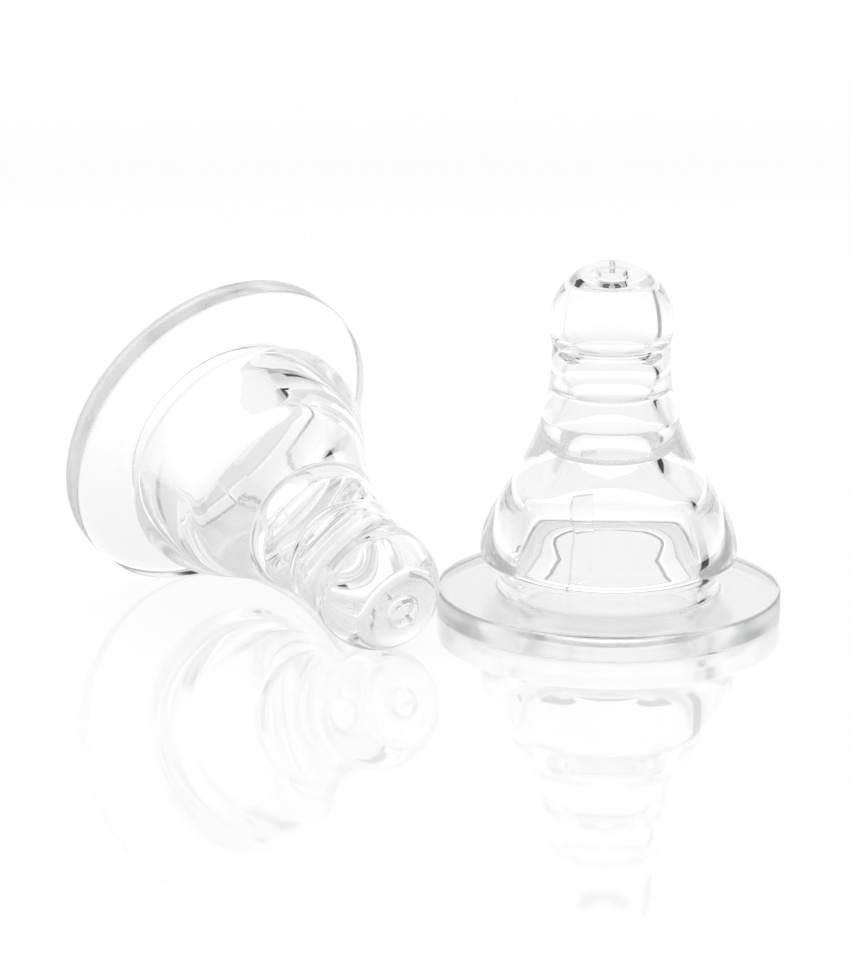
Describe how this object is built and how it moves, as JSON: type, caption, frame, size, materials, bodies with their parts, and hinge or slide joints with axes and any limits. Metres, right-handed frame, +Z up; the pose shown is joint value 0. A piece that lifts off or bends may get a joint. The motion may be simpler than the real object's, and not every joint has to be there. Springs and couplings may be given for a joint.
{
  "type": "baby bottle teat set",
  "caption": "Clear silicone baby bottle teat with a round bulb, ridged hollow stem, flared cone, neck groove for a screw ring and flat flange, shown with a matching teat lying beside it.",
  "frame": {"origin": "middle of the footprint that the set covers on the surface it rests on", "axes": "+Z up along the standing teat's axis; +X along the lying teat from its flange to its tip"},
  "size_m": [0.065, 0.0694, 0.0411],
  "materials": {
    "clear_silicone": "clear moulded silicone, glossy on the cone and stem, satin on the flange"
  },
  "bodies": {
    "upright": {"upright_teat": "clear_silicone"},
    "lying": {"lying_teat": "clear_silicone"}
  },
  "joints": [
    {"name": "lying_lift", "type": "slide", "parent": "upright", "child": "lying", "axis": [0, 0, 1], "range_m": [0, 0.06]}
  ]
}
